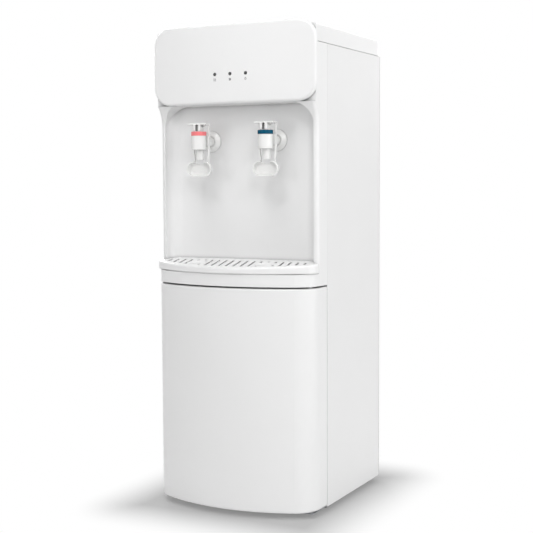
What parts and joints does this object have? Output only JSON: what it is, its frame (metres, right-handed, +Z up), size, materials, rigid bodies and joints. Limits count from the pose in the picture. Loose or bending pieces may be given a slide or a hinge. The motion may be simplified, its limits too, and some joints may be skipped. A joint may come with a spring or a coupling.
{
  "type": "water dispenser",
  "caption": "Free-standing top-loading hot and cold water dispenser with push-lever taps in an alcove, a drip tray and a storage cabinet below.",
  "frame": {"origin": "middle of the footprint, on the floor under the feet", "axes": "+Z up, -Y to the front with the taps and the door, +X to the cold tap's side"},
  "size_m": [0.317, 0.36, 0.8436],
  "materials": {
    "shell": "glossy white moulding with softly rounded edges",
    "door": "glossy white moulding",
    "panel": "smooth white powder coat",
    "rear_sheet": "plain white coat on sheet steel",
    "tap": "polished white plastic",
    "hot_red": "glossy red",
    "cold_blue": "glossy deep blue",
    "lens": "smoked lens, unlit",
    "board": "green laminate",
    "tray": "light grey plastic",
    "steel": "bright steel",
    "tank": "brushed stainless steel",
    "foam": "white bead foam",
    "hose": "milky silicone",
    "seal": "pale silicone",
    "inner_plastic": "matt natural plastic",
    "coil": "bare flat-wound strip",
    "magnet": "dark magnetic rubber",
    "galvanised": "galvanised sheet",
    "black_metal": "satin black paint",
    "black_plastic": "fine matt black",
    "rubber": "black rubber",
    "copper": "drawn copper pipe",
    "rocker_red": "glossy red",
    "rocker_green": "glossy green"
  },
  "bodies": {
    "root": {"back_panel": "rear_sheet", "band_heater": "steel", "base_pan": "galvanised", "bottle_seat": "shell", "cabinet_liner": "inner_plastic", "cold_baffle": "inner_plastic", "cold_insulation": "foam", "cold_outlet_hose": "hose", "cold_tank": "tank", "cold_tap_body": "tap", "cold_tap_ring": "cold_blue", "compressor": "black_metal", "compressor_mounts": "rubber", "condenser": "black_metal", "condenser_brackets": "galvanised", "door_hinge_pins": "steel", "door_magnets": "magnet", "drain_cap": "black_plastic", "drain_hose": "hose", "evaporator_coil": "coil", "feed_spike": "inner_plastic", "feet": "rubber", "front_frame": "shell", "head_plate": "shell", "hot_feed_hose": "hose", "hot_insulation": "foam", "hot_outlet_hose": "hose", "hot_tank": "tank", "hot_tap_body": "tap", "hot_tap_ring": "hot_red", "lamp_board": "board", "lamp_lenses": "lens", "panel_screws": "steel", "power_inlet": "black_plastic", "refrigerant_line": "copper", "side_panel_left": "panel", "side_panel_right": "panel", "switch_housing": "black_plastic", "tank_shelves": "galvanised", "tap_caps": "tap", "tap_flanges": "tap", "tap_nuts": "inner_plastic", "tap_springs": "steel", "thermostats": "steel", "top_cover": "shell"},
    "door": {"door_skin": "door", "door_inner_panel": "door", "door_strike_plates": "steel"},
    "drip_tray": {"drip_tray": "tray"},
    "drip_grille": {"drip_grille": "shell"},
    "hot_valve": {"hot_stem": "inner_plastic", "hot_seal": "seal", "hot_lever_pin": "steel"},
    "hot_lever": {"hot_lever": "tap"},
    "cold_valve": {"cold_stem": "inner_plastic", "cold_seal": "seal", "cold_lever_pin": "steel"},
    "cold_lever": {"cold_lever": "tap"},
    "rocker_hot": {"rocker_hot": "rocker_red"},
    "rocker_cold": {"rocker_cold": "rocker_green"}
  },
  "joints": [
    {"name": "door_hinge", "type": "hinge", "parent": "root", "child": "door", "pos_m": [0.142, -0.1204, 0.2], "axis": [0, 0, 1], "range_deg": [0, 105]},
    {"name": "tray_lift", "type": "slide", "parent": "root", "child": "drip_tray", "axis": [0, 0, 1], "range_m": [0, 0.06]},
    {"name": "grille_lift", "type": "slide", "parent": "drip_tray", "child": "drip_grille", "axis": [0, 0, 1], "range_m": [0, 0.04]},
    {"name": "hot_valve_lift", "type": "slide", "parent": "root", "child": "hot_valve", "axis": [0, 0, 1], "range_m": [0, 0.0024], "deforming": ["tap_springs"]},
    {"name": "hot_lever_tip", "type": "hinge", "parent": "hot_valve", "child": "hot_lever", "pos_m": [-0.0653, -0.1322, 0.6698], "axis": [1, 0, 0], "range_deg": [0, 18], "stiffness_Nm_per_rad": 0.5, "springref_deg": -11.46},
    {"name": "cold_valve_lift", "type": "slide", "parent": "root", "child": "cold_valve", "axis": [0, 0, 1], "range_m": [0, 0.0024], "deforming": ["tap_springs"]},
    {"name": "cold_lever_tip", "type": "hinge", "parent": "cold_valve", "child": "cold_lever", "pos_m": [0.0653, -0.1322, 0.6698], "axis": [1, 0, 0], "range_deg": [0, 18], "stiffness_Nm_per_rad": 0.5, "springref_deg": -11.46},
    {"name": "rocker_hot_tip", "type": "hinge", "parent": "root", "child": "rocker_hot", "pos_m": [0.077, 0.1604, 0.744], "axis": [1, 0, 0], "range_deg": [-9, 9]},
    {"name": "rocker_cold_tip", "type": "hinge", "parent": "root", "child": "rocker_cold", "pos_m": [0.107, 0.1604, 0.744], "axis": [1, 0, 0], "range_deg": [-9, 9]}
  ],
  "couplings": [
    {"joint": "hot_valve_lift", "follows": "hot_lever_tip", "m_per_rad": 0.0075},
    {"joint": "cold_valve_lift", "follows": "cold_lever_tip", "m_per_rad": 0.0075}
  ]
}
